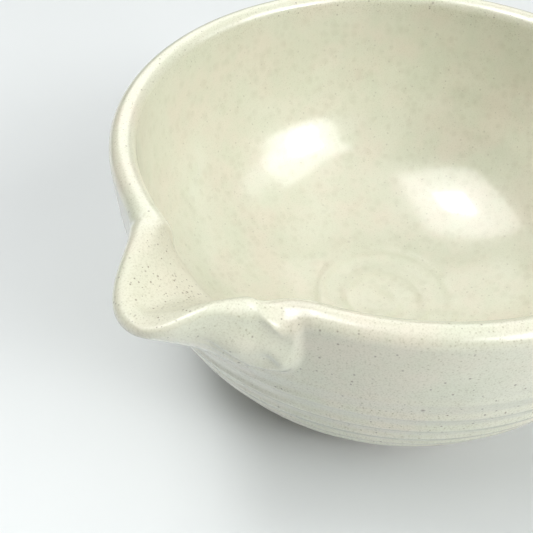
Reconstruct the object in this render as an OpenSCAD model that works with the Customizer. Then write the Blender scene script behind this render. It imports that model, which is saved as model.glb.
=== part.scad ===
// Spouted stoneware mortar with a matching pestle.
//
// The bowl stands on its foot ring with the foot centre at the origin, +Z up
// and the pouring spout pointing along +X.  The pestle lies on the same plane
// behind the bowl, its long axis along Y.  All dimensions are millimetres.
//
// Every glazed surface is built in two steps: a "skin" grid is computed from
// the profile functions, and the fired clay is the same grid moved inward by
// the glaze thickness.  Clay and glaze therefore share one set of points.

/* [Bowl] */
// outside diameter over the rim, spout not counted
bowl_d = 150; // [140:1:180]
// overall height from the table to the top of the rim
bowl_h = 76.5; // [68:0.5:82]
// thickness of the rounded rim
rim_t = 6.6; // [5:0.1:9]
// how far the outer wall draws in at a depth of one rim radius
wall_draw = 32.6; // [26:0.2:35]
// power of the outer wall curve, higher keeps the upper wall upright
wall_power = 2.47; // [2.1:0.01:2.9]
// power of the inside curve, higher gives a flatter floor
cavity_power = 2.6; // [2.2:0.05:3]
// clay and glaze thickness at the middle of the floor
floor_t = 5.5; // [4.5:0.1:8]

/* [Spout] */
// how far the tip of the lip stands out past the rim
spout_reach = 17.5; // [8:0.5:22]
// how far the lip dips below the rim
spout_dip = 1.5; // [0:0.1:4]
// thickness of the lip edge
lip_t = 4.5; // [3.6:0.1:6]
// angular spread of the flank on the -Y side
flank_a = 10.5; // [8:0.1:13]
// angular spread of the flank on the +Y side
flank_b = 9.4; // [8:0.1:13]
// height of wall taken up by the underside of the spout
underside_h = 24.8; // [18:0.2:30]
// height of wall taken up by the throat inside the bowl
throat_h = 18; // [14:0.2:24]
// extra width of the land left by the finger on the -Y flank
land_w = 1; // [0:0.1:2]
// height of the thumb bulge under the +Y flank
bulge_h = 2.2; // [0:0.1:3]
// depth of the pinch in the rim beside the bulge
pinch_h = 0.9; // [0:0.1:1.6]

/* [Glaze] */
// thickness of the glaze coat
glaze_t = 0.4; // [0.3:0.05:0.8]
// height of the bare band left between the table and the glaze
bare_h = 5.6; // [5:0.1:9]

/* [Foot] */
// how far the foot ring is set in from the edge of the base
foot_inset = 1.8; // [0.4:0.1:6]
// radial width of the foot ring
foot_w = 8; // [5:0.5:12]
// height of the foot ring below the bowl
foot_h = 3.2; // [2.4:0.1:4]
// radius of the rounded edges that stand on the table
foot_round = 1; // [0.4:0.1:1.1]

/* [Pestle] */
// overall length along the pestle axis
pestle_l = 132; // [110:1:150]
// diameter of the grinding head
head_d = 34; // [28:0.5:40]
// diameter of the slim part of the grip
grip_d = 19; // [15:0.5:23]
// diameter of the rounded knob at the hand end
knob_d = 25; // [20:0.5:28]
// length of bare clay left on the head for grinding
bare_l = 27; // [20:0.5:40]
// distance between the bowl rim and the pestle in plan
pestle_gap = 12; // [6:1:30]

/* [Colours] */
// fired clay body
clay_colour = "#b9ab93";
// satin glaze
glaze_colour = "#e7e5d3";

/* [Hidden] */

bowl_r = bowl_d / 2;
rim_r = rim_t / 2;
lip_r = lip_t / 2;
// height of the centre of the rounded rim; depths are measured down from here
rim_z = bowl_h - rim_r;
cavity_r = bowl_r - rim_t;
floor_z = foot_h + floor_t;
cavity_depth = rim_z - floor_z;
// the base is rounded off by a small chamfer where the wall turns under
base_chamfer = 1.2;
// height of the chamfer, and of the first clay ring above the foot
base_rise = 1;

// power of the bell that spreads the spout, higher gives a blunter tip
spout_power = 2.2;
// the slim lip edge reaches a little further round than the pull itself
lip_spread_a = flank_a + 2.5;
lip_spread_b = flank_b + 3.1;
lip_power = 2.5;
// angle and spread of the land left by the finger on the -Y flank
land_at = -13;
land_spread = 5.5;
// angle and spread of the pinch on the +Y flank, and how far it pushes the rim out
pinch_at = 14.8;
pinch_spread = 2;
pinch_out = 0.3;

// thumb bulge: angle and depth of its middle, and its spread in each
bulge_at = [12.5, 10.5];
bulge_spread = [3.8, 5.3];
// fingertip dent beside the bulge, as deep as this share of the bulge
dent_at = [15.8, 14.2];
dent_spread = [1.8, 2.6];
dent_share = 0.5;
// depth below the rim over which bulge and dent fade in
thumb_fade = 3.8;

// underside of the spout: two handles of the curve from the lip to the wall
keel_out = spout_reach * 0.82;
keel_drop = underside_h * 0.23;
heel_out = spout_reach * 0.17;
heel_drop = underside_h * 0.5;

// throat of the spout: how far the land runs in, and how it falls away
land_run = 0.55;
land_fall = 0.12;
land_drop = 1.5;
// width of rim pulled out at which the throat takes on the full spout shape
throat_blend = 1.9;
// length left between the top handle of the throat and the rim
throat_top = 1.1;

// grid of the skin: dense columns across the spout, coarse round the back
spout_cols = 38;
back_cols = 32;
cols = spout_cols + back_cols;
spout_span = 36;
wall_rows = 12;
rim_rows = 7;
throat_rows = 7;
cavity_rows = 7;
// powers that crowd the rows towards the rim
wall_crowd = 1.6;
throat_crowd = 1.4;
// small steps used for slopes along a curve, in millimetres and degrees
step_mm = 0.01;
step_deg = 0.05;
// the throat ends where this angle of the cavity curve begins
throat_angle = asin(pow(throat_h / cavity_depth, cavity_power / 2));

// how far the cut of a rounded corner reaches past the clay, and its fineness
cut_margin = 1;
round_sides = 48;

$fn = 96;

// ---------------------------------------------------------------- helpers

function unit(v) = v / norm(v);
function mix(a, b, t) = a + (b - a) * t;
function bezier(p, t) =
    pow(1 - t, 3) * p[0] + 3 * t * pow(1 - t, 2) * p[1]
    + 3 * t * t * (1 - t) * p[2] + pow(t, 3) * p[3];
function at(angle, r, z) = [r * cos(angle), r * sin(angle), z];
// smooth bump of width s around c, one at the top
function bump(x, c, s) = exp(-pow((x - c) / s, 2));
// flat topped bell with separate spreads on either side of zero
function bell(x, a, b, n) = exp(-pow(abs(x) / (x < 0 ? a : b), n));

// ---------------------------------------------------------- bowl profiles

// outer wall radius at a depth below the rim centre
function wall_r(d) = bowl_r - wall_draw * pow(max(d, 0) / bowl_r, wall_power);
// cavity radius at a depth below the rim centre
function cav_r(d) =
    cavity_r * pow(max(1 - pow(max(d, 0) / cavity_depth, cavity_power), 0), 1 / cavity_power);
// radius of the flat base that the foot ring is joined to
base_r = wall_r(rim_z - foot_h - base_rise) - base_chamfer - glaze_t;
foot_r = base_r - foot_inset;
function wall_slope(d) = (wall_r(d) - wall_r(d - step_mm)) / step_mm;
function cav_slope(d) = (cav_r(d) - cav_r(d - step_mm)) / step_mm;

// --------------------------------------------------------- rim with spout

// share of the spout at an angle, one at the tip and nothing at the back
function pull(a) = bell(a, flank_a, flank_b, spout_power);
// radius of the rounded rim section, slimmer on the lip
function edge_h(a) = mix(rim_r, lip_r, bell(a, lip_spread_a, lip_spread_b, lip_power));
// half width of the rim section, widened by the land on one flank
function edge_w(a) = edge_h(a) + land_w * bump(a, land_at, land_spread);
function pinch(a) = bump(a, pinch_at, pinch_spread);
// centre line of the rim
function rim_centre(a) =
    at(a,
       bowl_r + pull(a) * spout_reach - edge_w(a) + pinch_out * pinch(a),
       -pull(a) * spout_dip - pinch_h * pinch(a));
function rim_along(a) = unit(rim_centre(a + step_deg) - rim_centre(a - step_deg));
function rim_out(a) = unit(cross(rim_along(a), [0, 0, 1]));
function rim_up(a) = cross(rim_out(a), rim_along(a));
// point on the rounded rim, t from 0 at the outside to 180 at the inside
function rim_point(a, t) =
    rim_centre(a) + edge_w(a) * cos(t) * rim_out(a) + edge_h(a) * sin(t) * rim_up(a);

// ------------------------------------------------------------- bowl walls

// thumb bulge and fingertip dent on the underside of the +Y flank
function spot(a, d, centre, spread) =
    bump(a, centre[0], spread[0]) * bump(d, centre[1], spread[1]);
function thumb(a, d) =
    bulge_h * (spot(a, d, bulge_at, bulge_spread) - dent_share * spot(a, d, dent_at, dent_spread))
    * (1 - bump(d, 0, thumb_fade));

function wall_point(a, d) =
    let (
        w = pull(a),
        h = underside_h,
        start = rim_point(a, 0),
        stop = at(a, wall_r(h), -h),
        leave = start + at(a, 0, -h / 3),
        arrive = at(a, wall_r(h) - wall_slope(h) * h / 3, -h * 2 / 3),
        keel = at(a, bowl_r + keel_out, -keel_drop),
        heel = at(a, bowl_r + heel_out, -heel_drop),
        p = d < h
            ? bezier([start, mix(leave, keel, w), mix(arrive, heel, w), stop], d / h)
            : at(a, wall_r(d), -d)
    )
    p + at(a, thumb(a, d), 0);

function throat_point(a, d) =
    let (
        h = throat_h,
        start = rim_point(a, 180),
        run = max(norm([start.x, start.y]) - cavity_r, 0),
        w = 1 - bump(run, 0, throat_blend),
        stop = at(a, cav_r(h), -h),
        slope = cav_slope(h),
        rise = mix(h / 3, h - throat_top, w),
        leave = start + at(a, cav_slope(step_mm) * h / 3, -h / 3),
        land = start - at(a, land_run * run, land_drop + land_fall * run)
    )
    bezier([start, mix(leave, land, w), stop + at(a, -slope * rise, rise), stop], d / h);

function cavity_point(a, t) =
    at(a, cavity_r * pow(cos(t), 2 / cavity_power), -cavity_depth * pow(sin(t), 2 / cavity_power));

// ------------------------------------------------------------------- grid

function col_angle(i) =
    i < spout_cols
        ? -spout_span + 2 * spout_span * i / spout_cols
        : spout_span + (360 - 2 * spout_span) * (i - spout_cols) / back_cols;

// the wall rows run from the glaze line up to just below the rim
glaze_depth = rim_z - bare_h;
function skin_row(j, a) =
    j < wall_rows ? wall_point(a, glaze_depth * pow(1 - j / wall_rows, wall_crowd))
    : j < wall_rows + rim_rows ? rim_point(a, 180 * (j - wall_rows) / (rim_rows - 1))
    : j < wall_rows + rim_rows + throat_rows
        ? throat_point(a,
            throat_h * pow((j + 1 - wall_rows - rim_rows) / throat_rows, throat_crowd))
        : cavity_point(a, throat_angle + (90 - throat_angle)
            * (j + 1 - wall_rows - rim_rows - throat_rows) / (cavity_rows + 1));
rows = wall_rows + rim_rows + throat_rows + cavity_rows;

skin = [
    for (j = [0 : rows - 1])
        [for (i = [0 : cols - 1]) skin_row(j, col_angle(i)) + [0, 0, rim_z]]
];
skin_pole = [0, 0, floor_z];

// outward normal of the skin from the four neighbours
function skin_normal(j, i) =
    let (
        e = skin[j][(i + 1) % cols] - skin[j][(i + cols - 1) % cols],
        n = skin[min(j + 1, rows - 1)][i] - skin[max(j - 1, 0)][i]
    )
    unit(cross(e, n));

clay = [
    for (j = [0 : rows - 1])
        [for (i = [0 : cols - 1]) skin[j][i] - glaze_t * skin_normal(j, i)]
];
clay_pole = skin_pole - [0, 0, glaze_t];

// flatten a list of rows
function flat(g) = [for (r = g) for (p = r) p];
// triangles between ring j and ring j + 1 of a grid, wound outward
function band(j, k) = [
    for (i = [0 : cols - 1])
        let (m = (i + 1) % cols)
        for (f = [
            [j * cols + i, k * cols + i, k * cols + m],
            [j * cols + i, k * cols + m, j * cols + m]
        ])
            f
];
// fan from the last ring to a closing point
function fan(j, pole) = [for (i = [0 : cols - 1]) [j * cols + i, pole, j * cols + (i + 1) % cols]];

// the same triangles facing the other way
function turned(faces) = [for (f = faces) [f[2], f[1], f[0]]];

// ------------------------------------------------------------------ nodes

module mortar_body() {
    // bare rows below the glaze line, down to the flat that sits on the foot
    low = [
        [for (i = [0 : cols - 1]) at(col_angle(i), base_r, foot_h)],
        [for (i = [0 : cols - 1])
            at(col_angle(i), base_r + base_chamfer, foot_h + base_rise)]
    ];
    grid = concat(low, clay);
    last = len(grid) - 1;
    count = len(grid) * cols;
    color(clay_colour)
        polyhedron(
            points = concat(flat(grid), [clay_pole, [0, 0, foot_h]]),
            faces = concat(
                [for (j = [0 : last - 1]) each band(j, j + 1)],
                fan(last, count),
                [for (i = [0 : cols - 1]) [(i + 1) % cols, count + 1, i]]),
            convexity = 8);
}

module mortar_glaze() {
    // the skin runs up the outside and down the inside, the clay side returns
    count = rows * cols;
    color(glaze_colour)
        polyhedron(
            points = concat(flat(skin), flat(clay), [skin_pole, clay_pole]),
            faces = concat(
                [for (j = [0 : rows - 2]) each band(j, j + 1)],
                fan(rows - 1, 2 * count),
                [for (j = [0 : rows - 2]) each turned(band(rows + j, rows + j + 1))],
                turned(fan(2 * rows - 1, 2 * count + 1)),
                band(rows, 0)),
            convexity = 8);
}

module foot_ring() {
    inner = foot_r - foot_w;
    color(clay_colour)
        rotate_extrude()
            difference() {
                translate([inner, 0])
                    square([foot_w, foot_h]);
                foot_corner(foot_r, 1);
                foot_corner(inner, -1);
            }
}

// the waste left outside a rounded corner on the table side of the ring
module foot_corner(r, side) {
    difference() {
        translate([side > 0 ? r - foot_round : r - cut_margin, -cut_margin])
            square([foot_round + cut_margin, foot_round + cut_margin]);
        translate([r - side * foot_round, foot_round])
            circle(r = foot_round, $fn = round_sides);
    }
}

// ----------------------------------------------------------------- pestle

head_r = head_d / 2;
knob_r = knob_d / 2;
grip_r = grip_d / 2;
// the slim grip runs between these two distances from the tip of the head
neck_s = 0.45 * pestle_l;
swell_s = 0.62 * pestle_l;
// number of steps along the grip, and angle of a step round each end
body_steps = 30;
end_step = 9;

function ease(t) = (1 - cos(180 * t)) / 2;
// radius of the pestle at a distance from the tip of its head
function pestle_r(s) =
    s < neck_s ? mix(head_r, grip_r, ease((s - head_r) / (neck_s - head_r)))
    : s < swell_s ? grip_r
    : mix(grip_r, knob_r, ease((s - swell_s) / (pestle_l - knob_r - swell_s)));

// profile from the tip of the head to the end of the knob, as [radius, distance]
profile = concat(
    [for (t = [0 : end_step : 90 - end_step]) [head_r * sin(t), head_r * (1 - cos(t))]],
    [for (k = [0 : body_steps])
        let (s = mix(head_r, pestle_l - knob_r, k / body_steps))
        [pestle_r(s), s]],
    [for (t = [end_step : end_step : 90])
        [knob_r * cos(t), pestle_l - knob_r * (1 - sin(t))]]);
ends = len(profile) - 1;
function profile_normal(k) =
    k == ends ? [0, 1]
    : let (d = unit(profile[k + 1] - profile[k - 1])) [d.y, -d.x];
glazed = [for (k = [0 : ends]) if (profile[k].y >= bare_l) k];

// lying down, the head and the knob both touch the table
pestle_tilt = asin((head_r - knob_r - glaze_t) / (pestle_l - head_r - knob_r));
pestle_lift = max([for (p = profile) p.x * cos(pestle_tilt) + p.y * sin(pestle_tilt)]);

module lying() {
    translate([-(bowl_r + pestle_gap + head_r), -pestle_l / 2, pestle_lift])
        rotate([-90 - pestle_tilt, 0, 0])
            children();
}

module pestle_body() {
    color(clay_colour)
        lying()
            rotate_extrude()
                polygon(profile);
}

module pestle_glaze() {
    outer = [for (k = glazed) profile[k] + glaze_t * profile_normal(k)];
    inner = [for (k = [len(glazed) - 1 : -1 : 0]) profile[glazed[k]]];
    color(glaze_colour)
        lying()
            rotate_extrude()
                polygon(concat(outer, inner));
}

mortar_body();
mortar_glaze();
foot_ring();
pestle_body();
pestle_glaze();
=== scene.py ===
"""Hand-thrown stoneware mortar with a pulled spout, and its pestle, on a pale studio floor.

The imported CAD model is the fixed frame.  Every visible piece is a fine mesh
computed here from the same kind of profile functions as the design, with the
throwing rings, finger marks and glaze edges that the plain CAD solids leave out.
Lengths are in metres and angles in degrees unless a name says otherwise.  Angles
round the bowl are zero at the spout's tip and positive on its +Y side, where the
thumb pushed the flank out.
"""

import math

import bpy
import numpy as np
from mathutils import Matrix, Vector


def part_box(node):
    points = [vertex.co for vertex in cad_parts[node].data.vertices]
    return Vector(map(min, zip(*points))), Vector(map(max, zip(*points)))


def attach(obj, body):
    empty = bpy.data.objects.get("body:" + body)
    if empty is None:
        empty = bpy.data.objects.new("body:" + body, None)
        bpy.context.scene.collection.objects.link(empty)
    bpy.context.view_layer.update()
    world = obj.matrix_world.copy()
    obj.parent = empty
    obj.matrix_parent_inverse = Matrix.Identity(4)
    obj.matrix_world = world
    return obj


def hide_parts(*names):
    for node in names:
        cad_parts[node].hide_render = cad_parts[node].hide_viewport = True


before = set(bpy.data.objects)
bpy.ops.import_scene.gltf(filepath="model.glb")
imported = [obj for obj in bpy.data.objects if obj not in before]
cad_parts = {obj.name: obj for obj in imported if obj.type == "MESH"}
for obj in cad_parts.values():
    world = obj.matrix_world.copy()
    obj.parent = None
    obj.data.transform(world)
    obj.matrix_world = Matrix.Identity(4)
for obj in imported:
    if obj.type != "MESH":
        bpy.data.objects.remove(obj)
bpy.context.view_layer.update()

# ------------------------------------------------------------ driving sizes

MM = 0.001

# read from the frame
glaze_low, glaze_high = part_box("mortar_glaze")
foot_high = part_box("foot_ring")[1]
BOWL_R = -glaze_low.x
BOWL_TOP = glaze_high.z
GLAZE_LINE = glaze_low.z
SPOUT_REACH = glaze_high.x - BOWL_R
FOOT_R = foot_high.x
FOOT_H = foot_high.z

# the design's other sizes
RIM_HALF = 3.3 * MM
LIP_HALF = 2.25 * MM
SPOUT_DROP = 2.6 * MM
WALL_DRAW = 32.6 * MM
WALL_POWER = 2.47
CAVITY_POWER = 2.6
FLOOR_T = 5.5 * MM
UNDERSIDE_H = 24.8 * MM
THROAT_H = 18 * MM
WEIR_DEPTH = 4.5 * MM
GLAZE_T = 0.4 * MM
FOOT_INSET = 1.8 * MM
FOOT_WIDTH = 8 * MM
FOOT_ROUND = 1 * MM
BASE_CHAMFER = 1.2 * MM

RIM_Z = BOWL_TOP - RIM_HALF
CAVITY_R = BOWL_R - 2 * RIM_HALF
FLOOR_Z = FOOT_H + FLOOR_T
CAVITY_DEPTH = RIM_Z - FLOOR_Z
BASE_R = FOOT_R + FOOT_INSET

# rows of points up the wall, over the rim, down the throat and down the cavity
WALL_ROWS, RIM_ROWS, THROAT_ROWS, CAVITY_ROWS = 120, 22, 36, 96


# ------------------------------------------------------------ small helpers

def bump(x, centre, width):
    """A smooth bump, one at its centre."""
    return np.exp(-(((x - centre) / width) ** 2))


def bell(x, a, b, power):
    """A flat-topped bell around zero with a separate spread on either side."""
    return np.exp(-(np.abs(x / np.where(x < 0, a, b)) ** power))


def smooth(x, low, high):
    """A smooth step from zero at low to one at high."""
    t = np.clip((x - low) / (high - low), 0, 1)
    return t * t * (3 - 2 * t)


def span(x, rise, fall):
    """One between a smooth rise and a smooth fall, each a pair of where it starts and ends."""
    return smooth(x, *rise) * (1 - smooth(x, *fall))


def marks(a, rows):
    """Sum of finger marks, from rows of size, angle and spread."""
    return sum(size * bump(a, centre, spread) for size, centre, spread in rows)


def waves(a, rows):
    """Sum of waves round a circle, from rows of height, count and phase."""
    return sum(height * np.sin(np.radians(count * a + phase)) for height, count, phase in rows)


def at(angle, r, z):
    """Points at an angle, a radius and a height."""
    a = np.radians(angle)
    return np.stack([r * np.cos(a), r * np.sin(a), z + 0 * a], axis=-1)


def ring_at(angles, r, z):
    """A level ring of points."""
    return at(angles, r + 0 * angles, z)


def raised(angles, z):
    """Shifts straight up, one for each angle."""
    return at(angles, 0 * angles, z)


def unit(v):
    """Vectors scaled to length one."""
    return v / np.linalg.norm(v, axis=-1, keepdims=True)


def mix(a, b, t):
    """a turning to b as t goes from zero to one."""
    return a + (b - a) * t


def bezier(p0, p1, p2, p3, t):
    """Points on cubic curves, all at the same share of their way."""
    t = t[..., None]
    return (1 - t) ** 3 * p0 + 3 * t * (1 - t) ** 2 * p1 + 3 * t * t * (1 - t) * p2 + t**3 * p3


# ------------------------------------------------------------- bowl profile

SLOPE_STEP = MM / 100


def wall_r(d):
    """Radius of the outer wall, d below the rim's centre."""
    return BOWL_R - WALL_DRAW * (np.maximum(d, 0) / BOWL_R) ** WALL_POWER


def cavity_r(d):
    """Radius of the superellipse cavity, d below the rim's centre."""
    fallen = (np.maximum(d, 0) / CAVITY_DEPTH) ** CAVITY_POWER
    return CAVITY_R * np.maximum(1 - fallen, 0) ** (1 / CAVITY_POWER)


def slope(profile, d):
    """How fast a profile's radius changes with depth."""
    return (profile(d) - profile(d - SLOPE_STEP)) / SLOPE_STEP


# ----------------------------------------------------------- rim with spout

# angular spread of the spout's flanks, smaller on the side of the thumb
FLANK_A = 10.5
FLANK_B = 9.4
PULL_POWER = 2.2
# the spout's dip spreads over this share of the thumb's flank
DIP_SHARE = 0.62

# where the rim's roll is opened out into the spout's land, and where it is thin
LAND_RISE, LAND_FALL = (-19, -11.5), (3, 12)
THIN_RISE, THIN_FALL = (-19, -13), (15, 18.5)
# share by which the lip is thinned where it was pinched, its angle and its spread
PINCHED_THIN = ((0.34, 6.8, 2.8),)

# half the step, in degrees, over which the rim's direction is taken
TANGENT_STEP = 0.05
# slow waves of the rim
WAVER = ((0.16 * MM, 2, 40.1), (0.11 * MM, 3, 120.3), (0.05 * MM, 7, 0))

# the pinch, the thumb's push and the crease on the far side move the rim outwards
RIM_OUT = ((-2.1 * MM, 7.3, 3.0), (1.1 * MM, 15.4, 2.6), (-0.3 * MM, -15.9, 1.0))
# the crest of the pinched flank and the nick on the far side move it upwards
RIM_UP = ((0.55 * MM, 6.8, 2.4), (-0.25 * MM, -15.7, 1.0))
# a gentle notch lies behind the thumb's push
NOTCH_DEPTH = 1.2 * MM
NOTCH_RISE, NOTCH_FALL = (13.6, 17.6), (17.8, 21.6)

# the flank's ridge slips outside the rim and ends in a crease
RIDGE_RISE, RIDGE_FALL = (13, 18), (18.4, 20)
SLIP_OUT = 1.2 * MM
SLIP_DOWN = 1.0 * MM
# degrees by which the marks slant towards the spout across the roll
SLANT = ((4.6, 14.5, 5.0), (-2.4, -15.0, 4.0))
# the roll's outside swells at the shoulder, and its inside sinks behind the flank
SHOULDER = ((0.7 * MM, 10.8, 2.8),)
SINK = ((1.8 * MM, 14.4, 2.2), (1.1 * MM, 9.2, 2.6))
# the roll is round at a power of one, and these take from it where the corner is crisper
TIP_CRISP = ((0.5, 2.6, 2.4),)
RIDGE_CRISP = 0.25

# the opened roll is broader towards the inside and ends sooner
LAND_BROAD = 0.5
LAND_TURN = 46


def pull(a):
    """Share of the spout at an angle, one at the tip."""
    return bell(a, FLANK_A, FLANK_B, PULL_POWER)


def opened(a):
    """Share by which the rim's roll is opened out into the spout's land."""
    return span(a, LAND_RISE, LAND_FALL)


def edge(a):
    """Half thickness of the rim: thin between the two creases, thinnest at the pinch."""
    lip = LIP_HALF * (1 - marks(a, PINCHED_THIN))
    return mix(RIM_HALF, lip, span(a, THIN_RISE, THIN_FALL))


def sweep(a):
    """Radius and height that the spout's pull gives the rim, without the marks of the fingers."""
    dip = SPOUT_DROP * bell(a, FLANK_A, DIP_SHARE * FLANK_B, PULL_POWER)
    return BOWL_R + pull(a) * SPOUT_REACH, -dip


def rim_profile(a):
    """Radius and height of the rim's centre line, from the level of the rim's centre."""
    r, z = sweep(a)
    half = edge(a)
    notch = NOTCH_DEPTH * span(a, NOTCH_RISE, NOTCH_FALL)
    return r - half + marks(a, RIM_OUT), z + RIM_HALF - half + marks(a, RIM_UP) - notch


def rim_axes(a):
    """Directions out of the rim and up across it."""
    ahead, behind = a + TANGENT_STEP, a - TANGENT_STEP
    along = unit(at(ahead, *sweep(ahead)) - at(behind, *sweep(behind)))
    up = np.zeros_like(along)
    up[..., 2] = 1
    out = unit(np.cross(along, up))
    return out, np.cross(out, along)


def ridge_end(a):
    """Share of the place where the flank's ridge slips outside the rim and ends in a crease."""
    return span(a, RIDGE_RISE, RIDGE_FALL)


def rim_point(a, t):
    """A point on the rounded rim, t from 0 at the outside to 180 at the inside.

    The marks of the fingers run slantwise over the roll, so inside they lie nearer
    the spout.  Where the rim is opened out, the roll is broader towards the inside,
    and beside the tip its corner is crisper.
    """
    mark = a + marks(a, SLANT) * t / 180
    out, up = rim_axes(a)
    cos, sin = np.cos(np.radians(t)), np.sin(np.radians(t))
    outer, inner = np.maximum(cos, 0), np.maximum(-cos, 0)
    crisp = 1 - marks(a, TIP_CRISP) - RIDGE_CRISP * ridge_end(mark)
    broad = np.where(t > 90, 1 + LAND_BROAD * opened(a), 1)
    across = edge(mark) * broad * np.sign(cos) * np.abs(cos) ** crisp
    above = edge(mark) * np.maximum(sin, 0) ** crisp
    across = across + (SLIP_OUT * ridge_end(mark) + marks(a, SHOULDER)) * outer
    above = above - SLIP_DOWN * ridge_end(mark) * outer - marks(a, SINK) * inner
    return at(a, *rim_profile(mark)) + across[..., None] * out + above[..., None] * up


def roll_end(a):
    """How far round the roll goes before the inside begins, in degrees."""
    return 180 - LAND_TURN * opened(a)


# --------------------------------------------------------------- bowl walls

# the thumb's lobe: its corner below the rim, its reach past that corner, and its edge
LOBE_OUT = 2.5 * MM
LOBE_A, LOBE_D = 13, 6 * MM
LOBE_WIDE, LOBE_DEEP = 6.3, 9 * MM
LOBE_START = (4.5, 12)
LOBE_EDGE = (0.66, 1.18)
LOBE_TOP = 7.5 * MM
# a fingertip's dent in it, as its angle and depth with their spreads
DENT_IN = 0.9 * MM
DENT_A, DENT_D = (15.2, 1.5), (8.5 * MM, 2.2 * MM)

# fine folds, as depth, distance below the rim, fall for each degree, and width
FOLDS = ((0.45 * MM, 6.5 * MM, 1.35 * MM, 0.8 * MM), (0.35 * MM, 9.0 * MM, 1.55 * MM, 0.9 * MM))
FOLD_A = 7.5
FOLD_RISE, FOLD_FALL = (6, 8), (11.5, 14.5)

# handles of the wall's curve under the spout, as shares of its reach and of the height
KEEL = (0.82, 0.2)
HEEL = (0.17, 0.5)
# the ridge's slip is taken back over this much wall
TUCK_D = 7 * MM

# the throat follows the spout's channel where the rim stands this far outside the cavity
CHANNEL_RUN = 1.9 * MM
LAND_REACH = 0.28
# the weir's depth keeps this share at least, and the rest within these angles
WEIR_LEAST = 0.35
WEIR_A, WEIR_B = 10, 7
WEIR_MARKS = ((1.0 * MM, 6, 4), (-2.2 * MM, -8, 9))


def lobe(a, d):
    """Fold of clay that the thumb pushed out under the flank on the +Y side, with a fingertip dent."""
    across = np.maximum(a - LOBE_A, 0) / LOBE_WIDE
    down = np.maximum(d - LOBE_D, 0) / LOBE_DEEP
    inside = smooth(a, *LOBE_START) * (1 - smooth(np.hypot(across, down), *LOBE_EDGE))
    dent = DENT_IN * bump(a, *DENT_A) * bump(d, *DENT_D)
    return LOBE_OUT * inside * smooth(d, 0, LOBE_TOP) - dent


def stretch_folds(a, d):
    """Two fine folds where the clay was stretched from the lobe towards the spout's tip."""
    depth = 0 * d
    for size, below, fall, width in FOLDS:
        depth = depth + size * bump(d, below + fall * (a - FOLD_A), width)
    return -span(a, FOLD_RISE, FOLD_FALL) * depth


def wall_point(a, d):
    """Outer wall under the rim, d below the rim's centre."""
    h = UNDERSIDE_H
    w = pull(a)[..., None]
    start = rim_point(a, 0 * a)
    stop = ring_at(a, wall_r(h), -h)
    leave = start + raised(a, -h / 3)
    arrive = ring_at(a, wall_r(h) - slope(wall_r, h) * h / 3, -h * 2 / 3)
    keel = ring_at(a, BOWL_R + KEEL[0] * SPOUT_REACH, -KEEL[1] * h)
    heel = ring_at(a, BOWL_R + HEEL[0] * SPOUT_REACH, -HEEL[1] * h)
    near = bezier(start, mix(leave, keel, w), mix(arrive, heel, w), stop, np.clip(d / h, 0, 1))
    far = at(a, wall_r(d), -d)
    tuck = SLIP_OUT * ridge_end(a) * span(d, (0, TUCK_D), (0, h))
    return np.where((d < h)[..., None], near, far) + at(a, lobe(a, d) + stretch_folds(a, d) - tuck, 0)


def throat_point(a, d):
    """Inside of the rim, from the rounded edge or the spout's channel down to the cavity."""
    h = THROAT_H
    end = roll_end(a)
    start = rim_point(a, end)
    tangent = start - rim_point(a, end - 1)
    run = np.maximum(np.hypot(start[..., 0], start[..., 1]) - CAVITY_R, 0)
    w = 1 - bump(run, 0, CHANNEL_RUN)
    stop = ring_at(a, cavity_r(h), -h)
    weir = WEIR_DEPTH * mix(WEIR_LEAST, 1, bell(a, WEIR_A, WEIR_B, 2))
    rise = mix(h / 3, h - weir, w)
    reach = mix(h / 3, LAND_REACH * run, w)[..., None]
    handle = stop + at(a, marks(a, WEIR_MARKS) - slope(cavity_r, h) * rise, rise)
    return bezier(start, start + unit(tangent) * reach, handle, stop, d / h)


def cavity_point(a, t):
    """Superellipse cavity, t from 0 at the rim's level to 90 at the centre of the floor."""
    c = np.maximum(np.cos(np.radians(t)), 0) ** (2 / CAVITY_POWER)
    s = np.sin(np.radians(t)) ** (2 / CAVITY_POWER)
    return at(a, CAVITY_R * c, -CAVITY_DEPTH * s)


# ---------------------------------------------------- marks of the making

# throwing rings outside: strongest at one angle, weaker round the back
RING_PITCH = 6.4 * MM
RING_DEPTH = 0.28 * MM
RING_START = (10 * MM, 30 * MM)
RING_MEAN, RING_SWING, RING_ANGLE = 0.52, 0.48, 60
RING_DRIFT = ((0.10, 2, 40), (0.06, 5, 0))
# a ring's section, as share, count and phase of its waves
RING_SHAPE = ((1.0, 1, 0.0), (0.3, 2, 0.8), (0.12, 5, 0.0))

# the finger's spiral on the floor
SPIRAL_PITCH = 8.6 * MM
SPIRAL_DEPTH = 0.45 * MM
SPIRAL_RISE, SPIRAL_FALL = (2.5 * MM, 6 * MM), (17 * MM, 30 * MM)
SPIRAL_POWER = 3

# faint rings inside
INNER_PITCH = 9 * MM
INNER_DEPTH = 0.05 * MM
INNER_START = (10 * MM, 25 * MM)


def throwing_rings(a, z):
    """Spiral ridges that the fingers left on the lower outer wall."""
    depth = RIM_Z - z
    turn = depth / RING_PITCH + a / 360 + waves(a, RING_DRIFT)
    facing = RING_MEAN + RING_SWING * np.cos(np.radians(a - RING_ANGLE))
    phase = 2 * math.pi * turn
    section = sum(share * np.cos(count * phase + shift) for share, count, shift in RING_SHAPE)
    return RING_DEPTH * smooth(depth, *RING_START) * facing * section


def finger_spiral(a, r):
    """Spiral groove that a finger left on the floor of the cavity."""
    turn = r / SPIRAL_PITCH + a / 360
    groove = np.maximum(np.cos(2 * math.pi * turn), 0) ** SPIRAL_POWER
    return -SPIRAL_DEPTH * span(r, SPIRAL_RISE, SPIRAL_FALL) * groove


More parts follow.
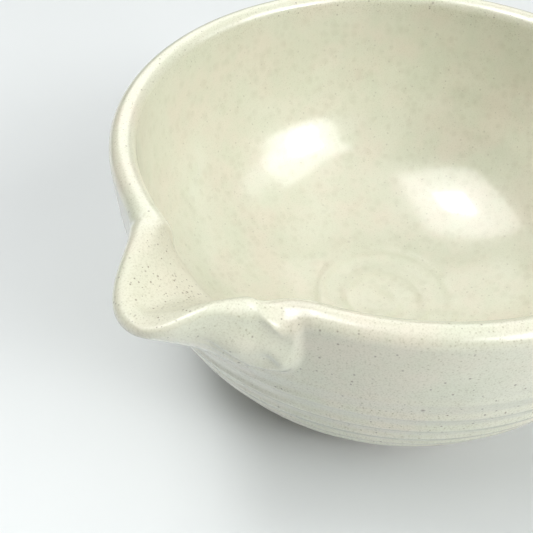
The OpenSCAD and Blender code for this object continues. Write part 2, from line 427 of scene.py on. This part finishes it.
def inner_rings(a, z):
    """Faint finger rings up the inside of the wall."""
    turn = (RIM_Z - z) / INNER_PITCH + a / 360
    return INNER_DEPTH * smooth(RIM_Z - z, *INNER_START) * np.sin(2 * math.pi * turn)


# -------------------------------------------------------------- bowl meshes

# columns of points, close together across the spout and wider round the back
SPOUT_HALF = 40.0
SPOUT_COLUMNS = 224
BACK_COLUMNS = 216
# rows crowd towards the rim by these powers
WALL_CROWD = 1.25
THROAT_CROWD = 1.3
# the rim's waver fades out at half its height
WAVER_FROM = 0.5

# the glaze's lower edge: its waves, its lift above the CAD's line, and the height it fades over
GLAZE_WAVES = ((0.35 * MM, 3, 20), (0.21 * MM, 8, 75))
GLAZE_LIFT = 0.6 * MM
GLAZE_FADE = 3 * MM


def columns():
    """Angles of the bowl's columns, from -180 to 180."""
    front = np.linspace(-SPOUT_HALF, SPOUT_HALF, SPOUT_COLUMNS, endpoint=False)
    back = np.linspace(SPOUT_HALF, 360 - SPOUT_HALF, BACK_COLUMNS, endpoint=False)
    angles = np.concatenate([front, back])
    return np.where(angles > 180, angles - 360, angles)


def wall_rows(a):
    """Rings up the outside, from the glaze's line to the rim."""
    for j in range(WALL_ROWS):
        d = (RIM_Z - GLAZE_LINE) * (1 - j / WALL_ROWS) ** WALL_CROWD
        p = wall_point(a, d + 0 * a)
        yield p + at(a, throwing_rings(a, p[:, 2] + RIM_Z), 0)


def rim_rows(a):
    """Rings over the rim's roll."""
    for j in range(RIM_ROWS + 1):
        yield rim_point(a, roll_end(a) * j / RIM_ROWS)


def throat_rows(a):
    """Rings down the inside of the rim and the spout's channel."""
    for j in range(THROAT_ROWS):
        d = THROAT_H * ((j + 1) / THROAT_ROWS) ** THROAT_CROWD
        yield throat_point(a, d + 0 * a)


def cavity_rows(a):
    """Rings from under the throat to the middle of the floor."""
    first = math.degrees(math.asin((THROAT_H / CAVITY_DEPTH) ** (CAVITY_POWER / 2)))
    for j in range(CAVITY_ROWS):
        t = mix(first, 90, (j + 1) / (CAVITY_ROWS + 1))
        p = cavity_point(a, t + 0 * a)
        groove = finger_spiral(a, np.hypot(p[:, 0], p[:, 1]))
        yield p + raised(a, groove) - at(a, inner_rings(a, p[:, 2] + RIM_Z), 0)


def bowl_grid(a):
    """Rings of points up the outside, over the rim and down to the middle of the floor.

    The waver is counted from the back of the rim, which keeps its height in the CAD.
    """
    rows = [*wall_rows(a), *rim_rows(a), *throat_rows(a), *cavity_rows(a)]
    grid = np.array(rows)
    grid[..., 2] += RIM_Z
    lift = smooth(grid[..., 2], WAVER_FROM * RIM_Z, RIM_Z)
    grid[..., 2] += lift * (waves(a, WAVER) - waves(180, WAVER))
    return grid


def grid_normals(grid):
    """Outward normals of a ring grid from its neighbouring points."""
    along = np.roll(grid, -1, axis=1) - np.roll(grid, 1, axis=1)
    up = np.gradient(grid, axis=0)
    return unit(np.cross(along, up))


def band(low, high, cols):
    """Faces between two rings, each given by the number of its first point."""
    return [(low + i, low + (i + 1) % cols, high + (i + 1) % cols, high + i) for i in range(cols)]


def fan(ring, pole, cols):
    """Faces that close a ring at a pole."""
    return [(ring + i, ring + (i + 1) % cols, pole) for i in range(cols)]


def ring_mesh(name, grid, start=None, end=None):
    """A mesh from a grid of rings, outward where they run up the outside.

    start and end are poles that close the first and the last ring.  With neither,
    the last ring is joined back to the first, as on a ring-shaped piece.
    """
    rows, cols = grid.shape[:2]
    verts = [tuple(p) for p in grid.reshape(-1, 3)]
    faces = []
    for j in range(rows - 1):
        faces += band(j * cols, (j + 1) * cols, cols)
    if start is None and end is None:
        faces += band((rows - 1) * cols, 0, cols)
    if start is not None:
        faces += [face[::-1] for face in fan(0, len(verts), cols)]
        verts.append(tuple(start))
    if end is not None:
        faces += fan((rows - 1) * cols, len(verts), cols)
        verts.append(tuple(end))
    return finished_mesh(name, verts, faces)


def finished_mesh(name, verts, faces):
    """A smooth-shaded object in the scene."""
    mesh = bpy.data.meshes.new(name)
    mesh.from_pydata(verts, [], faces)
    mesh.validate()
    mesh.polygons.foreach_set("use_smooth", [True] * len(mesh.polygons))
    mesh.update()
    piece = bpy.data.objects.new(name, mesh)
    bpy.context.scene.collection.objects.link(piece)
    return piece


def shell_mesh(name, outer, inner, outer_pole, inner_pole):
    """A closed thin shell: down the inner side, round its edge and up the outer side."""
    return ring_mesh(name, np.concatenate([inner[::-1], outer]), inner_pole, outer_pole)


# the inside begins this far above the rim's centre and is full this much lower
INSIDE_TOP = 2 * MM
INSIDE_FADE = 9 * MM
# the land where the glaze ran thin, whose darker colour is partly painted shade: its angles, and where it
# starts and is full from the bowl's radius
RUNOFF_RISE, RUNOFF_FALL = (-15, -11), (6, 10)
RUNOFF_IN = (-14 * MM, -5 * MM)
# share of the roll where the thin glaze begins, earlier beside the tip, and its blur in rows
RUNOFF_ROLL = 0.62
RUNOFF_TIP = ((0.5, 3, 2.4),)
RUNOFF_BLUR = 0.02


def mark_share(piece, name, share):
    """Store a share from 0 to 1 on every point of a shell, the same on both its sides."""
    pole = share[-1, :1]
    values = np.concatenate([share[::-1].reshape(-1), share.reshape(-1), pole, pole])
    piece.data.attributes.new(name, "FLOAT", "POINT").data.foreach_set("value", values)


def mark_glaze(piece, skin, a):
    """Mark where the glaze lies thick inside the bowl, and where it ran thin over the spout's land, where
    its colour also carries painted shade.
    """
    rows = skin.shape[0]
    radius = np.hypot(skin[..., 0], skin[..., 1])
    row = np.arange(rows)[:, None] / rows
    deep = smooth(RIM_Z + INSIDE_TOP - skin[..., 2], 0, INSIDE_FADE)
    mark_share(piece, "inside", deep * (row > 0.5) * (radius < BOWL_R))
    begin = (WALL_ROWS + RIM_ROWS * (RUNOFF_ROLL - marks(a, RUNOFF_TIP))) / rows
    past_edge = smooth(row, begin - RUNOFF_BLUR, begin + RUNOFF_BLUR)
    on_land = smooth(radius, BOWL_R + RUNOFF_IN[0], BOWL_R + RUNOFF_IN[1])
    mark_share(piece, "thin", span(a, RUNOFF_RISE, RUNOFF_FALL) * past_edge * on_land)


# rings of bare clay round the underside's chamfered edge, out from its radius and up from the foot
CHAMFER_RINGS = ((-0.5 * MM, 0.0), (0.0, 0.1 * MM), (BASE_CHAMFER, 1 * MM))
# more rings on the wall, from this far above the foot to this far under the glaze's line
BARE_ABOVE_FOOT = 1.4 * MM
BARE_UNDER_GLAZE = 0.2 * MM
BARE_RINGS = 4


def base_rings(a):
    """Rings of the bare clay, from the underside's edge to just under the glaze."""
    for out, up in CHAMFER_RINGS:
        yield ring_at(a, BASE_R + out, FOOT_H + up)
    for z in np.linspace(FOOT_H + BARE_ABOVE_FOOT, GLAZE_LINE - BARE_UNDER_GLAZE, BARE_RINGS):
        yield ring_at(a, wall_r(RIM_Z - z) - GLAZE_T, z)


def make_bowl():
    """The glaze skin with its rolled lower edge, and the clay body under it."""
    a = columns()
    skin = bowl_grid(a)
    under = skin - GLAZE_T * grid_normals(skin)
    near_edge = 1 - smooth(skin[..., 2], GLAZE_LINE, GLAZE_LINE + GLAZE_FADE)
    shift = near_edge[..., None] * raised(a, waves(a, GLAZE_WAVES) + GLAZE_LIFT)
    skin, under = skin + shift, under + shift
    clay_pole = (0, 0, FLOOR_Z - GLAZE_T)
    glaze = shell_mesh("bowl_glaze", skin, under, (0, 0, FLOOR_Z), clay_pole)
    mark_glaze(glaze, skin, a)
    body = np.concatenate([[*base_rings(a)], under[1:]])
    return glaze, ring_mesh("bowl_clay", body, (0, 0, FOOT_H), clay_pole)


# share of the foot's height where its sides end, and the small corners above
FOOT_SIDE = 0.7
FOOT_CORNER = 0.2 * MM
FOOT_TURNS = range(0, 91, 15)
FOOT_COLUMNS = 192


def foot_section():
    """Radius and height round the foot ring's section, its table edges rounded and worn."""
    outer, inner = FOOT_R, FOOT_R - FOOT_WIDTH
    side = FOOT_H * FOOT_SIDE
    turns = np.radians(FOOT_TURNS)
    cut = [(FOOT_ROUND * (1 - math.cos(t)), FOOT_ROUND * (1 - math.sin(t))) for t in turns]
    section = [(outer - r, z) for r, z in cut] + [(inner + r, z) for r, z in reversed(cut)]
    section += [(inner, side), (inner + FOOT_CORNER, FOOT_H), (outer - FOOT_CORNER, FOOT_H), (outer, side)]
    return section


def make_foot():
    """The turned foot ring."""
    angles = np.linspace(0, 360, FOOT_COLUMNS, endpoint=False)
    return ring_mesh("foot_clay", np.array([ring_at(angles, r, z) for r, z in reversed(foot_section())]))


# ------------------------------------------------------------------- pestle

PESTLE_L = 132 * MM
HEAD_R = 17 * MM
KNOB_R = 12.5 * MM
GRIP_R = 9.5 * MM
BARE_L = 27 * MM
NECK = 0.45 * PESTLE_L
SWELL = 0.62 * PESTLE_L
KNOB = PESTLE_L - KNOB_R

PESTLE_COLUMNS = 96
PESTLE_ROWS = 120
# no ring is nearer to a tip than this
TIP_GAP = 0.2 * MM

# unevenness of the grip, whose second wave twists along it
RIPPLE = 0.18 * MM
RIPPLE_TWIST = 9 * MM

# the coat's edge and the length it fades over
COAT_WAVES = ((0.5 * MM, 2, 30), (0.3 * MM, 5, 0))
COAT_FADE = 6 * MM


def ease(t):
    """A share from 0 to 1, slow at both ends."""
    return (1 - math.cos(math.pi * t)) / 2


def pestle_r(s):
    """Radius of the pestle at a distance from the tip of its head."""
    if s < HEAD_R:
        return math.sqrt(max(HEAD_R**2 - (HEAD_R - s) ** 2, 0))
    if s < NECK:
        return mix(HEAD_R, GRIP_R, ease((s - HEAD_R) / (NECK - HEAD_R)))
    if s < SWELL:
        return GRIP_R
    if s < KNOB:
        return mix(GRIP_R, KNOB_R, ease((s - SWELL) / (KNOB - SWELL)))
    return math.sqrt(max(KNOB_R**2 - (s - KNOB) ** 2, 0))


def hand_ripple(s, a):
    """Slight unevenness of a hand-shaped grip, nothing on the head and at the tips."""
    if s <= HEAD_R:
        return 0 * a
    share = math.sin(math.pi * s / PESTLE_L) ** 2
    twist = math.degrees(s / RIPPLE_TWIST)
    return RIPPLE * share * waves(a, ((1.0, 2, 40), (0.5, 3, twist)))


def pestle_place():
    """The pestle's axis as it lies: from the tip of its head, level with +Y, down to the knob."""
    low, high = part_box("pestle_body")
    tilt = math.asin((HEAD_R - KNOB_R - GLAZE_T) / (PESTLE_L - HEAD_R - KNOB_R))
    along = Vector((0, math.cos(tilt), -math.sin(tilt)))
    head = Vector(((low.x + high.x) / 2, low.y + HEAD_R, low.z + HEAD_R))
    turn = Matrix((Vector((1, 0, 0)), along.cross(Vector((1, 0, 0))), along)).transposed()
    return Matrix.Translation(head - HEAD_R * along) @ turn.to_4x4()


def pestle_steps():
    """Distances along the pestle, closer together towards its two round ends."""
    steps = [PESTLE_L * ease(k / PESTLE_ROWS) for k in range(PESTLE_ROWS + 1)]
    return [s for s in steps if TIP_GAP < s < PESTLE_L - TIP_GAP]


def make_pestle():
    """The pestle's clay, and the glaze over its grip and knob."""
    a = np.linspace(0, 360, PESTLE_COLUMNS, endpoint=False)
    steps = pestle_steps()
    rings = np.array([at(a, pestle_r(s) + hand_ripple(s, a), s) for s in steps])
    tip, end, coat_end = (0, 0, 0), (0, 0, PESTLE_L), (0, 0, PESTLE_L + GLAZE_T)
    clay = ring_mesh("pestle_clay", rings, tip, end)
    inner = rings[[s >= BARE_L for s in steps]]
    outer = inner + GLAZE_T * grid_normals(inner)
    for grid in (outer, inner):
        near_edge = 1 - smooth(grid[..., 2], BARE_L, BARE_L + COAT_FADE)
        grid[..., 2] += near_edge * waves(a, COAT_WAVES)
    glaze = shell_mesh("pestle_glaze_coat", outer, inner, coat_end, end)
    place = pestle_place()
    for piece in (clay, glaze):
        piece.data.transform(place)
        piece.data.update()
    return clay, glaze


glaze, clay = make_bowl()
foot = make_foot()
pestle_clay, pestle_glaze = make_pestle()

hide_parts("mortar_glaze")
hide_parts("mortar_body")
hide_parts("foot_ring")
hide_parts("pestle_body")
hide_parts("pestle_glaze")

for piece, body, slot in (
    (glaze, "mortar", "satin_glaze"),
    (clay, "mortar", "fired_clay"),
    (foot, "mortar", "fired_clay"),
    (pestle_clay, "pestle", "pestle_clay"),
    (pestle_glaze, "pestle", "pestle_glaze"),
):
    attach(piece, body)


# ---------------------------------------------------------------- materials

class Nodes:
    """Short calls for building a material's node tree."""

    def __init__(self, name):
        self.material = bpy.data.materials.new(name)
        self.material.use_nodes = True
        self.tree = self.material.node_tree
        self.tree.nodes.clear()
        self.shader = self.tree.nodes.new("ShaderNodeBsdfPrincipled")
        out = self.tree.nodes.new("ShaderNodeOutputMaterial")
        self.join(self.shader.outputs["BSDF"], out.inputs["Surface"])

    def join(self, a, b):
        """Link an output to an input."""
        self.tree.links.new(a, b)

    def feed(self, name, source):
        """Link an output to one of the shader's inputs."""
        self.join(source, self.shader.inputs[name])

    def fix(self, **values):
        """Set shader inputs that are the same all over, their names with _ for a space."""
        for name, value in values.items():
            self.shader.inputs[name.replace("_", " ")].default_value = value

    def add(self, kind, links=None, values=None, **settings):
        """A node with its settings, its inputs' values and what is linked to them."""
        node = self.tree.nodes.new(kind)
        for key, value in settings.items():
            setattr(node, key, value)
        for key, value in (values or {}).items():
            node.inputs[key].default_value = value
        for key, source in (links or {}).items():
            self.join(source, node.inputs[key])
        return node

    def place(self):
        """The point's own place in metres."""
        return self.add("ShaderNodeTexCoord").outputs["Object"]

    def attribute(self, name):
        """A share stored on the mesh's points."""
        return self.add("ShaderNodeAttribute", attribute_name=name).outputs["Fac"]

    def noise(self, place, scale, detail, rough=0.5):
        """Smooth noise around one half."""
        values = {"Scale": scale, "Detail": detail, "Roughness": rough}
        return self.add("ShaderNodeTexNoise", {"Vector": place}, values).outputs["Fac"]

    def ramp(self, source, low, high, a=0.0, b=1.0):
        """source from low..high mapped smoothly to a..b."""
        values = {"From Min": low, "From Max": high, "To Min": a, "To Max": b}
        node = self.add("ShaderNodeMapRange", {"Value": source}, values, interpolation_type="SMOOTHSTEP")
        return node.outputs["Result"]

    def math(self, operation, a, b):
        """One step of arithmetic on two numbers or outputs."""
        node = self.add("ShaderNodeMath", operation=operation)
        for socket, value in zip(node.inputs, (a, b)):
            if isinstance(value, (int, float)):
                socket.default_value = value
            else:
                self.join(value, socket)
        return node.outputs["Value"]

    def times(self, a, b):
        """Product of two numbers or outputs."""
        return self.math("MULTIPLY", a, b)

    def blend(self, share, a, b):
        """Colour a turning to colour b as share goes from 0 to 1."""
        node = self.add("ShaderNodeMix", {"Factor": share}, data_type="RGBA")
        colour_a, colour_b, colour_out = node.inputs[6], node.inputs[7], node.outputs[2]
        for socket, value in ((colour_a, a), (colour_b, b)):
            if isinstance(value, tuple):
                socket.default_value = value + (1.0,)
            else:
                self.join(value, socket)
        return colour_out

    def relief(self, height, strength, distance):
        """Bump the shader's surface by a height."""
        values = {"Strength": strength, "Distance": distance}
        self.feed("Normal", self.add("ShaderNodeBump", {"Height": height}, values).outputs["Normal"])

    def specks(self, place, cell, radius, kept, soft=0.35):
        """Round specks of varied size in a share of the cells.  cell and radius are lengths."""
        values = {"Scale": 1 / cell, "Randomness": 1.0}
        near = self.add("ShaderNodeTexVoronoi", {"Vector": place}, values)
        lots = self.add("ShaderNodeSeparateColor", {"Color": near.outputs["Color"]}).outputs
        size = self.ramp(lots["Green"], 0.0, 1.0, SMALLEST_SPECK, 1.0)
        reach = self.times(size, radius / cell)
        gap = self.math("SUBTRACT", near.outputs["Distance"], self.times(reach, 1 - soft))
        fade = self.math("DIVIDE", gap, self.times(reach, soft * 2))
        disc = self.add("ShaderNodeClamp", {"Value": self.math("SUBTRACT", 1.0, fade)}).outputs["Result"]
        return self.times(disc, self.math("LESS_THAN", lots["Red"], kept))


# share of the full radius that the smallest speck has
SMALLEST_SPECK = 0.35

CREAM = (0.685, 0.69, 0.56)
CREAM_WARM = (0.70, 0.665, 0.545)
CREAM_GREEN = (0.63, 0.66, 0.52)
# the land's darker colour, partly thin glaze and partly painted shade
CREAM_THIN_AND_SHADE = (0.57, 0.56, 0.44)
IRON = (0.12, 0.085, 0.05)
OLIVE = (0.33, 0.31, 0.19)

# how far the glaze turns to the greener colour and to the thin colour, which on the spout's land is partly
# thin glaze and partly painted shade
GREEN_SHARE = 0.6
THIN_AND_SHADE_SHARE = 0.5
# how much grain and specks are blurred inside, and their strength below and above two heights: stronger
# low on the outer wall, partly real grit and partly painted shade
INSIDE_BLUR = 0.72
GRIT_AND_SHADE_LOW, GRIT_AND_SHADE_HIGH = RIM_Z - 22 * MM, RIM_Z - 5 * MM
GRIT_AND_SHADE_BELOW, GRIT_AND_SHADE_ABOVE = 1.4, 0.85
# where the glaze ran thin it is this much rougher and loses this share of its gloss
THIN_ROUGHER = 0.14
THIN_DULLER = 0.75

# crisp specks outside, as their cell, radius, share of cells kept, and softness
FINE = dict(cell=0.75 * MM, radius=0.2 * MM, kept=0.62)
MIDDLE = dict(cell=1.6 * MM, radius=0.27 * MM, kept=0.5)
LARGE = dict(cell=7 * MM, radius=0.5 * MM, kept=0.35, soft=0.5)
# specks on the land, where the glaze ran thin, and blurred ones inside
DENSE = dict(cell=0.85 * MM, radius=0.22 * MM, kept=0.6)
CLOUD = dict(cell=2.6 * MM, radius=1.1 * MM, kept=0.6, soft=1.0)


def glaze_ground(n, place, thin):
    """The glaze's colour: cream, clouded warmer and greener, and darker where it is thin, partly thin
    glaze and partly painted shade on the spout's land.
    """
    warm = n.ramp(n.noise(place, scale=55, detail=3), low=0.35, high=0.65)
    green = n.ramp(n.noise(place, scale=90, detail=4), low=0.38, high=0.68)
    base = n.blend(warm, CREAM, CREAM_WARM)
    base = n.blend(n.times(green, GREEN_SHARE), base, CREAM_GREEN)
    # the land's darkening is partly thin glaze and partly painted shade
    return n.blend(n.times(thin, THIN_AND_SHADE_SHARE), base, CREAM_THIN_AND_SHADE)


def grit_and_shade_strength(n, place, inside):
    """How strongly grain and specks show: less under the thick glaze inside, more low on the wall, partly
    real grit and partly painted shade there.
    """
    clear = n.math("SUBTRACT", 1.0, n.times(inside, INSIDE_BLUR))
    height = n.add("ShaderNodeSeparateXYZ", {"Vector": place}).outputs["Z"]
    return n.times(clear, n.ramp(height, GRIT_AND_SHADE_LOW, GRIT_AND_SHADE_HIGH, GRIT_AND_SHADE_BELOW, GRIT_AND_SHADE_ABOVE))


def glaze_iron(n, base, place, inside, thin):
    """Iron in the glaze: fine grain and specks, blurred inside, crisp outside, dense on the land, and
    stronger low on the wall as partly painted shade.
    """
    # crisp is also painted shade: it strengthens the darker grain and specks low on the outer wall
    crisp = grit_and_shade_strength(n, place, inside)
    grain = n.ramp(n.noise(place, scale=2300, detail=3, rough=0.6), low=0.42, high=0.75, b=0.36)
    crowd = n.ramp(n.noise(place, scale=60, detail=2), low=0.3, high=0.7, a=0.4)
    fine = n.times(n.specks(place, **FINE), crowd)
    base = n.blend(n.times(grain, crisp), base, OLIVE)
    # each layer's specks, the share of the surface they show on, their depth and their colour
    for spots, share, depth, colour in (
        (n.specks(place, **CLOUD), inside, 0.16, OLIVE),
        (n.specks(place, **DENSE), thin, 0.68, IRON),
        (fine, crisp, 0.7, OLIVE),
        (n.specks(place, **MIDDLE), crisp, 0.65, IRON),
        (n.specks(place, **LARGE), crisp, 0.55, IRON),
    ):
        base = n.blend(n.times(n.times(spots, share), depth), base, colour)
    return base


def glaze_gloss(n, place, thin):
    """Satin glass over the colour, with hardly any of it where the glaze ran thin."""
    rough = n.ramp(n.noise(place, scale=220, detail=3), low=0.3, high=0.7, a=0.28, b=0.36)
    n.feed("Roughness", n.math("ADD", rough, n.times(thin, THIN_ROUGHER)))
    n.feed("Coat Weight", n.math("SUBTRACT", 1.0, n.times(thin, THIN_DULLER)))
    n.fix(IOR=1.5, Coat_Roughness=0.12, Coat_IOR=1.52)
    n.relief(n.noise(place, scale=330, detail=2), strength=0.3, distance=0.04 * MM)


def glaze_material(name):
    """Cream satin glaze with fine iron specks, blurred where the glaze lies thick inside."""
    n = Nodes(name)
    place = n.place()
    inside = n.attribute("inside")
    thin = n.attribute("thin")
    base = glaze_ground(n, place, thin)
    n.feed("Base Color", glaze_iron(n, base, place, inside, thin))
    glaze_gloss(n, place, thin)
    return n.material


DARK_GRIT = (0.20, 0.13, 0.08)
PALE_GRIT = (0.78, 0.72, 0.6)
GRIT_DEPTH = 0.5
# the clay's swell is this much of its grit's height
SWELL_SHARE = 0.5


def clay_material(name, base_colour, worn_colour):
    """Bare fired stoneware: warm, matt and gritty."""
    n = Nodes(name)
    place = n.place()
    worn = n.ramp(n.noise(place, scale=70, detail=4), low=0.35, high=0.65)
    base = n.blend(worn, base_colour, worn_colour)
    dark = n.specks(place, cell=1.3 * MM, radius=0.22 * MM, kept=0.4)
    pale = n.specks(place, cell=2.1 * MM, radius=0.25 * MM, kept=0.3)
    base = n.blend(n.times(dark, GRIT_DEPTH), base, DARK_GRIT)
    n.feed("Base Color", n.blend(n.times(pale, GRIT_DEPTH), base, PALE_GRIT))
    rough = n.ramp(n.noise(place, scale=500, detail=3), low=0.3, high=0.7, a=0.62, b=0.82)
    n.feed("Roughness", rough)
    grit = n.noise(place, scale=1800, detail=4, rough=0.6)
    swell = n.noise(place, scale=500, detail=2)
    height = n.math("ADD", grit, n.times(swell, SWELL_SHARE))
    n.relief(height, strength=0.7, distance=0.12 * MM)
    return n.material


PAPER = (0.67, 0.697, 0.70)
PAPER_PALE = (0.69, 0.717, 0.72)


def paper_material(name, near, far, glow):
    """Pale seamless paper with the faintest mottling, lit more and more between two radii."""
    n = Nodes(name)
    place = n.place()
    base = n.blend(n.ramp(n.noise(place, scale=6, detail=3), low=0.3, high=0.7), PAPER, PAPER_PALE)
    n.feed("Base Color", base)
    n.feed("Emission Color", base)
    level = n.add("ShaderNodeVectorMath", {0: place}, {1: (1.0, 1.0, 0.0)}, operation="MULTIPLY")
    length = n.add("ShaderNodeVectorMath", {0: level.outputs["Vector"]}, operation="LENGTH")
    n.feed("Emission Strength", n.ramp(length.outputs["Value"], near, far, b=glow))
    n.fix(Roughness=0.75, Specular_IOR_Level=0.25)
    return n.material


bare = clay_material("bare_stoneware", (0.55, 0.45, 0.33), (0.62, 0.53, 0.40))
ground = clay_material("ground_stoneware", (0.62, 0.55, 0.44), (0.68, 0.61, 0.50))
for piece, material in (
    (glaze, glaze_material("satin_glaze")),
    (clay, bare),
    (foot, bare),
    (pestle_clay, ground),
    (pestle_glaze, glaze_material("satin_glaze_pestle")),
):
    piece.data.materials.append(material)


# ------------------------------------------------------------------- camera

# heading of the camera from the +X axis, its downward pitch, and the place of
# the rim's centre in its view, in bowl radii
HEADING = 47.8
PITCH = 44.3
RIM_RIGHT = 0.4732
RIM_ABOVE = 0.4866
RIM_AHEAD = 2.5208
# focal length and sensor width in millimetres
LENS = 49.88
SENSOR = 36
NEAREST = 0.01


def view_axes():
    """Level right and forward directions of the camera."""
    h = math.radians(HEADING)
    right = Vector((-math.cos(h), math.sin(h), 0))
    forward = Vector((-math.sin(h), -math.cos(h), 0))
    return right, forward


def make_camera():
    """The camera at the photograph's viewing angle."""
    right, forward = view_axes()
    p = math.radians(PITCH)
    up = Vector((0, 0, 1))
    look = forward * math.cos(p) - up * math.sin(p)
    above = forward * math.sin(p) + up * math.cos(p)
    target = Vector((0, 0, RIM_Z))
    place = target - BOWL_R * (RIM_RIGHT * right + RIM_ABOVE * above + RIM_AHEAD * look)
    data = bpy.data.cameras.new("camera")
    data.lens = LENS
    data.sensor_width = SENSOR
    data.clip_start = NEAREST
    camera = bpy.data.objects.new("camera", data)
    bpy.context.scene.collection.objects.link(camera)
    turn = Matrix((right, above, -look)).transposed()
    camera.matrix_world = Matrix.Translation(place) @ turn.to_4x4()
    bpy.context.scene.camera = camera


# ------------------------------------------------------------------- studio

STUDIO_COLUMNS = 96
FLOOR_REACH = 1.0
FLOOR_SHARES = (1.0, 0.7, 0.4)
# the paper's glow starts at this radius and is full at its edge
GLOW_FROM = 0.45
FLOOR_GLOW = 0.75
# the wall bends up from the floor's edge with this radius and ends at this radius and height
WALL_BEND = 0.6
WALL_BEND_STEPS = 10
WALL_TOP = (1.6, 2.4)
WALL_UNDER = -0.02
WALL_GLOW = 1.05
WALL_GLOW_RADII = (0.0, 0.1)


def paper_sheet(name, rings, middle):
    """A round sheet from rings of radius and height, closed at its middle."""
    angles = np.linspace(0, 360, STUDIO_COLUMNS, endpoint=False)
    grid = np.array([ring_at(angles, FLOOR_REACH * r, z) for r, z in rings])
    return ring_mesh(name, grid, end=(0, 0, middle))


def make_studio():
    """A broad sheet of paper, and behind it the wall that it would curve up into.

    The paper glows faintly away from the object, as it does under the lights of a
    bigger studio.  The wall is only a backdrop, so it throws no light on the object.
    """
    sheet = paper_sheet("studio_floor", [(share, 0.0) for share in FLOOR_SHARES], 0.0)
    sheet.data.materials.append(paper_material("studio_paper", GLOW_FROM, FLOOR_REACH, FLOOR_GLOW))
    turns = np.linspace(0, math.pi / 2, WALL_BEND_STEPS)
    curve = [(1 + WALL_BEND * math.sin(t), WALL_BEND * (1 - math.cos(t))) for t in turns]
    wall = paper_sheet("studio_wall", [WALL_TOP] + curve[::-1], WALL_UNDER)
    wall.data.materials.append(paper_material("studio_wall", *WALL_GLOW_RADII, WALL_GLOW))
    wall.visible_diffuse = False
    wall.visible_glossy = False
    wall.visible_shadow = False


WHITE = (1.0, 1.0, 1.0)
WARM_WHITE = (1.0, 1.0, 0.96)
SKY = (0.93, 0.97, 1.0, 1.0)
SKY_STRENGTH = 0.02

# name, azimuth, elevation, distance, width, height, power in watts and colour
SOFTBOXES = (
    ("front_right", -37, 36, 1.1, 0.85, 0.65, 6.2, WHITE),
    ("front_right_core", -41, 33, 1.1, 0.28, 0.28, 3.2, WHITE),
    ("left_high", 180, 66, 1.0, 0.8, 0.7, 5.8, WHITE),
    ("left_high_core", 178, 68, 0.94, 0.22, 0.2, 1.9, WHITE),
    ("overhead", 0, 88, 1.3, 1.4, 1.4, 3.0, WHITE),
    ("behind", 90, 38, 1.3, 1.2, 0.8, 4.4, WARM_WHITE),
    ("right_low", -12, 24, 1.3, 0.9, 0.7, 3.2, WHITE),
)


def softbox(name, azimuth, elevation, distance, width, height, power, colour):
    """An area light aimed at the bowl, its azimuth from the camera's right towards the back."""
    right, forward = view_axes()
    a, e = math.radians(azimuth), math.radians(elevation)
    away = (right * math.cos(a) + forward * math.sin(a)) * math.cos(e) + Vector((0, 0, math.sin(e)))
    data = bpy.data.lights.new(name, "AREA")
    data.shape = "RECTANGLE"
    data.size = width
    data.size_y = height
    data.energy = power
    data.color = colour
    lamp = bpy.data.objects.new(name, data)
    lamp.location = Vector((0, 0, RIM_Z / 2)) + away * distance
    lamp.rotation_euler = away.to_track_quat("Z", "Y").to_euler()
    bpy.context.scene.collection.objects.link(lamp)


def make_world():
    """A faint pale light from all round."""
    world = bpy.data.worlds.new("studio")
    world.use_nodes = True
    back = world.node_tree.nodes["Background"]
    back.inputs["Color"].default_value = SKY
    back.inputs["Strength"].default_value = SKY_STRENGTH
    bpy.context.scene.world = world


make_camera()
make_studio()
for row in SOFTBOXES:
    softbox(*row)
make_world()
bpy.context.scene.view_settings.view_transform = "Standard"
